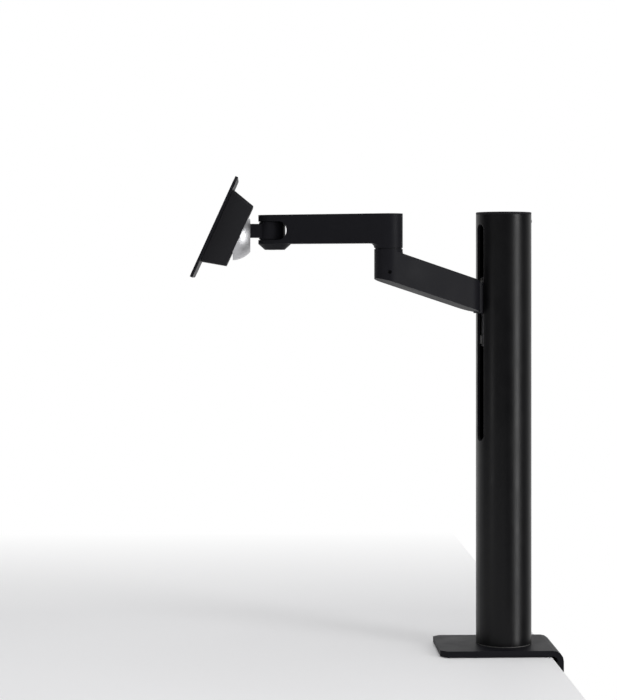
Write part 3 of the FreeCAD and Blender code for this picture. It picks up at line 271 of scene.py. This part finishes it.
def coat(name, rgb, grain, level, rough, edge):
    """Powder coat: beads of grain, slow changes of gloss and tone, lighter edges that are partly rubbed wear
    and partly a painted edge highlight.
    """
    material, graph = new_material(name)
    beads = graph.noise(grain, 3.0, 0.6)
    cloud = graph.noise(0.022, 3.0)
    handled = graph.ramp(graph.noise(0.055, 4.0, 0.62), (0.46, 0.0), (0.70, 1.0))
    tone = graph.blend(cloud, full(rgb, 0.86), full(rgb, 1.14))
    # Edges lighten towards 3.2 times the colour in random patches: partly rubbed wear, partly a painted edge
    # highlight.
    rubbed_and_highlight_edges = graph.edge_mask(edge) * graph.ramp(graph.noise(0.004, 3.0), (0.35, 0.25), (0.65, 1.0))
    wear_and_highlight_share = bpy.context.scene.surface_grain.edge_wear_and_highlight
    tone = graph.blend(rubbed_and_highlight_edges * wear_and_highlight_share, tone, full(rgb, 3.2))
    close_material(graph, {
        "Base Color": tone,
        "Roughness": cloud * 0.10 + beads * 0.06 + (rough - 0.08) - handled * 0.07,
        "Specular IOR Level": level,
        "Normal": graph.bump(beads, 0.22, 0.00003, graph.rounded(edge)),
    })
    return material


def moulded(name, rgb, grain, edge):
    """Moulded plastic: fine cells of spark texture, satin, with smoother rubbed patches."""
    material, graph = new_material(name)
    cells = graph.cells(grain)
    fine = graph.noise(grain * 0.6, 2.0)
    cloud = graph.noise(0.03, 3.0)
    tone = graph.blend(cloud, full(rgb, 0.9), full(rgb, 1.12))
    # Edges lighten towards 2.4 times the colour: partly rubbed wear, partly a painted edge highlight.
    tone = graph.blend(graph.edge_mask(edge) * 0.3, tone, full(rgb, 2.4))
    close_material(graph, {
        "Base Color": tone,
        "Roughness": cloud * 0.14 + 0.43 + fine * 0.06,
        "Specular IOR Level": 0.16,
        "Normal": graph.bump(cells * 0.7 + fine * 0.3, 0.3, 0.00004, graph.rounded(edge)),
    })
    return material


def metal(name, rgb, rough, streaks, depth, edge, blot=0.12):
    """Bare or plated metal: streaks stretched by a scale along each axis, blotches, softened edges."""
    material, graph = new_material(name)
    lines = graph.noise(0.0009, 4.0, 0.65, streaks)
    cloud = graph.noise(0.016, 3.0, 0.6)
    tone = graph.blend(cloud, full(rgb, 1.0 - blot), full(rgb, 1.0 + blot * 0.6))
    close_material(graph, {
        "Base Color": tone,
        "Metallic": 1.0,
        "Roughness": cloud * 0.10 + lines * 0.10 + (rough - 0.10),
        "Normal": graph.bump(lines, 0.35, depth, graph.rounded(edge)),
    })
    return material


def soft_solid(name, rgb, size, rough, level):
    """Rubber or a slippery polymer: a dull skin with fine pits and faint clouds."""
    material, graph = new_material(name)
    pits = graph.cells(size)
    cloud = graph.noise(0.012, 3.0)
    close_material(graph, {
        "Base Color": graph.blend(cloud, full(rgb, 0.85), full(rgb, 1.15)),
        "Roughness": cloud * 0.12 + (rough - 0.06),
        "Specular IOR Level": level,
        "Normal": graph.bump(pits, 0.25, 0.00004, graph.rounded(0.0003)),
    })
    return material


# Name of the material made for each slot
FINISH_NAMES = {
    "black_paint": "arm_coat", "column_paint": "column_coat", "black_plastic": "black_moulding",
    "satin_alloy": "satin_ball", "cast_alloy": "blasted_casting", "steel": "zinc_plate",
    "spring_steel": "rolled_strip", "dark_screw": "black_oxide", "polymer": "acetal", "rubber": "rubber",
}


def make_finishes():
    """One material for each of the record's slots."""
    colours = bpy.context.scene.finish_colours
    grain = bpy.context.scene.surface_grain
    edge = grain.edge_round
    return {
        "black_paint": coat("arm_coat", colours.arm_paint, grain.coat_grain, 0.10, 0.52, edge),
        "column_paint": coat("column_coat", colours.column_paint, grain.column_grain, 0.22, 0.36, edge),
        "black_plastic": moulded("black_moulding", colours.plastic, grain.moulded_grain, edge),
        "satin_alloy": metal("satin_ball", colours.satin_metal, 0.46, (1.0, 5.0, 1.0), 0.000006, edge, 0.05),
        "cast_alloy": metal("blasted_casting", colours.cast_metal, 0.52, (1.0, 1.0, 1.0), 0.00004, edge),
        "steel": metal("zinc_plate", colours.zinc, 0.36, (1.0, 1.0, 3.0), 0.00001, edge * 0.6),
        "spring_steel": metal("rolled_strip", colours.spring, 0.30, (6.0, 6.0, 0.3), 0.000006, edge * 0.3),
        "dark_screw": metal("black_oxide", colours.oxide, 0.42, (1.0, 1.0, 1.0), 0.00001, edge * 0.5),
        "polymer": soft_solid("acetal", colours.acetal, 0.0009, 0.42, 0.4),
        "rubber": soft_solid("rubber", colours.rubber, 0.0007, 0.72, 0.25),
    }


def paint(obj, material):
    """Give an object one material."""
    obj.data.materials.clear()
    obj.data.materials.append(material)


# ---------------------------------------------------------------------------------------------------------
# Studio
# ---------------------------------------------------------------------------------------------------------
def softbox(name, place, aim, width, tall, watts):
    """An area lamp at a place, turned to a point."""
    lamp = bpy.data.lights.new(name, "AREA")
    lamp.shape = "RECTANGLE"
    lamp.size = width
    lamp.size_y = tall
    lamp.energy = watts
    obj = bpy.data.objects.new(name, lamp)
    bpy.context.scene.collection.objects.link(obj)
    obj.location = place
    obj.rotation_euler = (Vector(aim) - Vector(place)).to_track_quat("-Z", "Y").to_euler()
    return obj


def make_world():
    """White for the camera and for glass, white behind the object and dim in front for reflections, even
    soft light for the rest."""
    world = bpy.data.worlds.new("studio")
    bpy.context.scene.world = world
    world.use_nodes = True
    graph = Graph(world.node_tree)
    rays = graph.add("ShaderNodeLightPath", {}, {}, "Is Camera Ray")
    node = rays.socket.node
    glossy = Wire(graph, node.outputs["Is Glossy Ray"])
    glass = Wire(graph, node.outputs["Is Transmission Ray"])
    direction = graph.add("ShaderNodeTexCoord", {}, {}, "Generated")
    depth = graph.add("ShaderNodeSeparateXYZ", {}, {0: direction}, "Y")
    behind = graph.ramp(depth * 0.5 + 0.5, (0.48, 0.05), (0.95, 1.0))
    seen = graph.add("ShaderNodeMath", {"operation": "MAXIMUM"}, {0: rays, 1: glass})
    even = 0.42
    strength = seen + (1.0 - seen) * (glossy * behind + (1.0 - glossy) * even)
    shade = graph.add("ShaderNodeBackground", {}, {"Color": (1.0, 1.0, 1.0, 1.0), "Strength": strength})
    graph.add("ShaderNodeOutputWorld", {}, {"Surface": shade})


def desk_material():
    """A pale lacquered desk that glows white further along +Y: painted light that fades it into the white
    backdrop away from the object.
    """
    material, graph = new_material("pale_desk")
    across = graph.add("ShaderNodeSeparateXYZ", {}, {0: graph.place()}, "Y")
    far = graph.ramp(across * 0.5 + 0.5, (0.62, 0.0), (0.97, 1.0))
    cloud = graph.noise(0.4, 2.0)
    rgb = bpy.context.scene.finish_colours.desk
    lit = graph.add("ShaderNodeBsdfPrincipled", {}, {
        "Base Color": graph.blend(cloud, full(rgb, 0.985), full(rgb, 1.015)),
        "Roughness": 0.6,
        "Specular IOR Level": 0.1,
    })
    # Painted light: white emission on the desk, weighted up along +Y by the ramp above.
    glow = graph.add("ShaderNodeEmission", {}, {"Color": (1.0, 1.0, 1.0, 1.0), "Strength": 1.0})
    mixed = graph.add("ShaderNodeMixShader", {}, {0: far, 1: lit, 2: glow})
    graph.add("ShaderNodeOutputMaterial", {}, {"Surface": mixed})
    return material


class ARM_OT_stage(bpy.types.Operator):
    """Make the camera, the lamps, the world and the desk"""

    bl_idname = "monitor_arm.stage"
    bl_label = "Studio"

    def execute(self, context):
        studio = context.scene.studio_sizes
        camera = bpy.data.cameras.new("camera")
        camera.lens = studio.camera_lens
        camera.shift_y = studio.camera_rise
        camera.clip_start = 0.05
        camera.clip_end = 50.0
        eye = bpy.data.objects.new("camera", camera)
        eye.location = studio.camera_at
        eye.rotation_euler = (math.pi / 2, 0.0, -studio.camera_yaw)
        context.scene.collection.objects.link(eye)
        context.scene.camera = eye
        context.scene.view_settings.view_transform = "Standard"
        make_world()
        column = Vector(middle("column_tube"))
        ball = Vector(middle("tilt_ball"))
        softbox("overhead", (-0.35, -0.25, 2.3), (-0.15, 0.0, 0.3), 2.6, 2.2, 25.0)
        softbox("right_strip", column + Vector((1.32, -1.12, 0.05)), column, 0.5, 1.7, 22.0)
        low_column = column - Vector((0.0, 0.0, 0.15))
        softbox("left_strip", column + Vector((-1.35, -0.90, -0.25)), low_column, 0.25, 0.6, 1.6)
        softbox("front_fill", ball + Vector((-0.7, -1.5, 1.0)), ball, 1.4, 1.2, 6.0)
        self.make_desk(studio)
        return {"FINISHED"}

    @staticmethod
    def make_desk(studio):
        """A slab whose back edge stands beside the clamp's rear plate, with its top in the frame's plane."""
        near, left, far = -2.2, -2.6, 2.6
        x = np.array([left, studio.desk_edge])
        y = np.array([near, far])
        z = np.array([-studio.desk_thick, 0.0])
        corners = np.stack(np.meshgrid(x, y, z, indexing="ij"), -1).reshape(-1, 3)
        faces = [(0, 1, 3, 2), (4, 6, 7, 5), (0, 4, 5, 1), (2, 3, 7, 6), (0, 2, 6, 4), (1, 5, 7, 3)]
        mesh = bpy.data.meshes.new("desk")
        mesh.from_pydata(corners.tolist(), [], faces)
        desk = bpy.data.objects.new("desk", mesh)
        bpy.context.scene.collection.objects.link(desk)
        paint(desk, desk_material())


class ARM_OT_finishes(bpy.types.Operator):
    """Give every node of the frame the finish of its slot"""

    bl_idname = "monitor_arm.finishes"
    bl_label = "Finishes"

    def execute(self, context):
        finishes = make_finishes()
        for name, obj in NODES.items():
            paint(obj, finishes[SLOT_OF[name]])
        return {"FINISHED"}


# ---------------------------------------------------------------------------------------------------------
# Surfaces
# ---------------------------------------------------------------------------------------------------------
def closed_mesh(name, points):
    """A closed mesh from a grid of points. The columns wrap round, and the first and last rows either shrink
    to a pole or are the same row. Each quad joins four neighbours; points that coincide become one, and the
    faces are turned outwards."""
    rows, columns = points.shape[:2]
    index = np.arange(rows * columns).reshape(rows, columns)
    after = np.roll(index, -1, axis=1)
    faces = np.stack([index[:-1], after[:-1], after[1:], index[1:]], -1).reshape(-1, 4)
    mesh = bpy.data.meshes.new(name)
    mesh.from_pydata(points.reshape(-1, 3).tolist(), [], faces.tolist())
    shape = bmesh.new()
    shape.from_mesh(mesh)
    bmesh.ops.remove_doubles(shape, verts=shape.verts, dist=POINT_GAP)
    bmesh.ops.dissolve_degenerate(shape, edges=shape.edges, dist=POINT_GAP)
    bmesh.ops.recalc_face_normals(shape, faces=shape.faces)
    shape.to_mesh(mesh)
    shape.free()
    mesh.shade_smooth()
    obj = bpy.data.objects.new(name, mesh)
    bpy.context.scene.collection.objects.link(obj)
    return obj


def settle(obj, body, slot, *nodes):
    """Give a piece its body and the finish of its slot, and hide the nodes that it stands for."""
    paint(obj, bpy.data.materials[FINISH_NAMES[slot]])
    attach(obj, body)
    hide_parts(*nodes)


def soften(corners, radius, steps=6):
    """Round a profile's corners: each becomes the quadratic curve (1-t)^2 A + 2t(1-t) B + t^2 C, where B is
    the corner and A and C lie on its two sides, a radius away or half a side if that is less."""
    corners = np.asarray(corners, float)
    sides = np.diff(corners, axis=0)
    lengths = np.linalg.norm(sides, axis=1)[:, None]
    unit = sides / lengths
    back = np.minimum(radius, lengths[:-1] / 2)
    ahead = np.minimum(radius, lengths[1:] / 2)
    corner = corners[1:-1]
    start, end = corner - unit[:-1] * back, corner + unit[1:] * ahead
    t = np.linspace(0.0, 1.0, steps)[None, :, None]
    arcs = (1 - t) ** 2 * start[:, None] + 2 * t * (1 - t) * corner[:, None] + t ** 2 * end[:, None]
    return np.concatenate([corners[:1], arcs.reshape(-1, corners.shape[1]), corners[-1:]])


def node_points(node):
    """A node's vertices as rows of an array."""
    mesh = NODES[node].data
    points = np.empty(len(mesh.vertices) * 3)
    mesh.vertices.foreach_get("co", points)
    return points.reshape(-1, 3)


def turned(profile, centre, around, hollow=0.0, grips=0):
    """Points of a turned surface about +Z: radius r at height z, less a hollow's depth times
    ((1 + cos(grips * angle)) / 2) to the power 1.6, which fades in with the radius beyond two thirds."""
    radius, height = profile[:, 0, None], profile[:, 1, None]
    angle = np.linspace(0.0, 2 * math.pi, around, endpoint=False)[None, :]
    fade = np.clip(radius / radius.max() * 3 - 2, 0.0, 1.0)
    radius = radius - hollow * fade * ((1 + np.cos(grips * angle)) / 2) ** 1.6
    return np.stack([centre[0] + radius * np.cos(angle), centre[1] + radius * np.sin(angle),
                     height + 0.0 * angle], -1)


class PieceSizes(bpy.types.PropertyGroup):
    """Sizes of the turned and moulded pieces."""

    knob_hollow: length("Knob hollows", "Depth of the finger hollows", 0.0022)
    knob_grips: IntProperty(name="Grips", description="Finger hollows round the knob", default=8, min=3)
    knob_dish: length("Knob dish", "Depth of the dish under the knob", 0.0030)
    thread_pitch: length("Thread pitch", "Rise of the clamp screw in one turn", 0.0015)
    thread_deep: length("Thread depth", "Depth of the clamp screw's thread", 0.0008)
    soft_edge: length("Soft edge", "Round of the lids' and the knob's edges", 0.0007)
    cover_round: length("Cover corners", "Round of the head cover's corners", 0.0036)
    cover_wall: length("Cover wall", "Wall of the head cover", 0.0025)


class ARM_OT_knob(bpy.types.Operator):
    """Make the clamp's knob with its finger hollows"""

    bl_idname = "monitor_arm.knob"
    bl_label = "Clamp knob"

    def execute(self, context):
        sizes = context.scene.piece_sizes
        base, top = low("clamp_knob"), high("clamp_knob")
        radius = top[0] - (top[0] + base[0]) / 2
        neck = radius * KNOB_NECK
        bore = neck * KNOB_BORE
        corners = [(0.0, top[2]), (bore, top[2]), (neck, top[2] - 3.5 * MM),
                   (radius - 2 * MM, top[2] - 5.5 * MM), (radius, top[2] - 8 * MM),
                   (radius, base[2] + 2 * MM),
                   (radius - 2 * MM, base[2]), (neck, base[2]), (bore, base[2] + sizes.knob_dish),
                   (0.0, base[2] + sizes.knob_dish)]
        points = turned(soften(corners, sizes.soft_edge * 2), middle("clamp_knob"), KNOB_AROUND,
                        sizes.knob_hollow, sizes.knob_grips)
        settle(closed_mesh("knob", points), "clamp_spindle", "black_plastic", "clamp_knob")
        return {"FINISHED"}


class ARM_OT_screw(bpy.types.Operator):
    """Make the clamp screw with its helical thread and held end"""

    bl_idname = "monitor_arm.screw"
    bl_label = "Clamp screw"

    def execute(self, context):
        sizes = context.scene.piece_sizes
        base, top = low("clamp_screw"), high("clamp_screw")
        radius = (top[0] - base[0]) / 2
        neck_low, head_low = low("pressure_plate")[2], top[2] - SCREW_HEAD_HIGH
        rows = int((top[2] - base[2]) / sizes.thread_pitch * THREAD_ROWS)
        height = np.linspace(base[2], top[2], rows)[:, None]
        angle = np.linspace(0.0, 2 * math.pi, THREAD_AROUND, endpoint=False)[None, :]
        # Ridge: a triangle wave of height less the turned share of the pitch, faded out at the plain ends.
        turn = (height / sizes.thread_pitch - angle / (2 * math.pi)) % 1.0
        groove = 1.0 - np.clip(np.abs(turn - 0.5) * 4 - 0.5, 0.0, 1.0)
        fade = np.clip((neck_low - 1.5 * MM - height) / sizes.thread_pitch, 0.0, 1.0)
        ends = np.clip((height - base[2]) / MM, 0.0, 1.0)
        shank = radius - sizes.thread_deep * groove * fade * ends
        held = np.where(height > head_low, radius * SCREW_HEAD, radius * SCREW_NECK)
        around = np.where(height > neck_low - 1.0 * MM, held + 0.0 * angle, shank)
        centre = middle("clamp_screw")
        body = np.stack([centre[0] + around * np.cos(angle), centre[1] + around * np.sin(angle),
                         height + 0.0 * angle], -1)
        poles = [np.broadcast_to([centre[0], centre[1], end], (1, angle.size, 3))
                 for end in (base[2], top[2])]
        points = np.concatenate([poles[0], body, poles[1]])
        settle(closed_mesh("screw_thread", points), "clamp_spindle", "steel", "clamp_screw")
        return {"FINISHED"}


class ARM_OT_lids(bpy.types.Operator):
    """Make the column's lid and the lid over the elbow bolt"""

    bl_idname = "monitor_arm.lids"
    bl_label = "Lids"

    def execute(self, context):
        edge = context.scene.piece_sizes.soft_edge
        for name, node, body, seat in (("column_lid", "column_cap", "column", high("column_tube")[2]),
                                       ("elbow_lid", "elbow_cap", "upper_arm", None)):
            base, top = low(node), high(node)
            radius = (top[0] - base[0]) / 2
            if seat is None:
                corners = [(0.0, top[2]), (radius, top[2]), (radius, base[2]), (0.0, base[2])]
            else:
                across = np.hypot(*(node_points(node) - middle(node))[:, :2].T)
                plug = across[node_points(node)[:, 2] < seat - MM]
                under = seat + 0.05 * MM
                corners = [(0.0, top[2]), (radius, top[2]), (radius, under), (plug.max(), under),
                           (plug.max(), base[2]), (plug.min(), base[2]), (plug.min(), under), (0.0, under)]
            points = turned(soften(corners, edge), middle(node), LID_AROUND)
            settle(closed_mesh(name, points), body, SLOT_OF[node], node)
        return {"FINISHED"}


class ARM_OT_cover(bpy.types.Operator):
    """Make the head's square cover with its round window"""

    bl_idname = "monitor_arm.cover"
    bl_label = "Head cover"

    def execute(self, context):
        sizes = context.scene.piece_sizes
        joints = {joint["name"]: joint for joint in frame["record"]["behaviour"]["joints"]}
        origin = np.array(joints["head_tilt"]["pos_m"])
        forward = np.array(joints["screen_pivot"]["axis"], float)
        across = np.array(joints["head_tilt"]["axis"], float)
        axes = np.stack([forward, across, np.cross(forward, across)])
        axes /= np.linalg.norm(axes, axis=1)[:, None]
        local = (node_points("head_cover") - origin) @ axes.T
        if abs(local[:, 0].min()) > abs(local[:, 0].max()):
            axes[0], axes[1] = -axes[0], -axes[1]
            local = (node_points("head_cover") - origin) @ axes.T
        front, rear = local[:, 0].min(), local[:, 0].max()
        face = local[local[:, 0] < front + 0.01 * MM]
        rim = local[local[:, 0] > rear - 0.01 * MM]
        window = np.hypot(face[:, 1], face[:, 2]).min()
        small, large = face[:, 1].max(), rim[:, 1].max()
        rise = (face[:, 2].max() + face[:, 2].min()) / 2
        wall, corner = sizes.cover_wall, sizes.cover_round
        # Each row is a square of half side h with corners of radius c, at x along the axis and raised by r.
        loop = [(front + wall, window, window, 0.0), (front, window, window, 0.0),
                (front, small, corner, rise),
                (rear, large, corner, rise), (rear, large - wall, corner, rise),
                (front + wall, small - wall, corner, rise), (front + wall, window, window, 0.0)]
        x, half, bend, lift = (column[:, None] for column in soften(loop, sizes.soft_edge).T)
        angle = (np.arange(COVER_AROUND) + 0.5)[None, :] * 2 * math.pi / COVER_AROUND
        y = np.sign(np.cos(angle)) * (half - bend) + bend * np.cos(angle)
        z = np.sign(np.sin(angle)) * (half - bend) + bend * np.sin(angle) + lift
        points = origin + (np.stack([x + 0.0 * y, y, z], -1) @ axes)
        settle(closed_mesh("cover_shell", points), "head", "black_plastic", "head_cover")
        return {"FINISHED"}


GROUPS = {"finish_colours": FinishColours, "surface_grain": SurfaceGrain, "studio_sizes": StudioSizes,
          "piece_sizes": PieceSizes}
OPERATORS = [ARM_OT_stage, ARM_OT_finishes, ARM_OT_knob, ARM_OT_screw, ARM_OT_lids, ARM_OT_cover]


class ARM_PT_panel(bpy.types.Panel):
    """Lists the groups of values and the operators"""

    bl_idname = "ARM_PT_panel"
    bl_label = "Monitor arm"
    bl_space_type = "VIEW_3D"
    bl_region_type = "UI"
    bl_category = "Monitor arm"

    def draw(self, context):
        for group, kind in GROUPS.items():
            box = self.layout.box()
            for name in kind.__annotations__:
                box.prop(getattr(context.scene, group), name)
        for operator in OPERATORS:
            self.layout.operator(operator.bl_idname)


def register():
    """Register the classes and hang the groups of values on the scene."""
    for kind in [*GROUPS.values(), *OPERATORS, ARM_PT_panel]:
        bpy.utils.register_class(kind)
    for name, kind in GROUPS.items():
        setattr(bpy.types.Scene, name, PointerProperty(type=kind))


def unregister():
    """Take back what register did."""
    for name in GROUPS:
        delattr(bpy.types.Scene, name)
    for kind in reversed([*GROUPS.values(), *OPERATORS, ARM_PT_panel]):
        bpy.utils.unregister_class(kind)


def main():
    """Run every operator in order."""
    register()
    for operator in OPERATORS:
        group, name = operator.bl_idname.split(".")
        getattr(getattr(bpy.ops, group), name)()


if __name__ == "__main__":
    main()
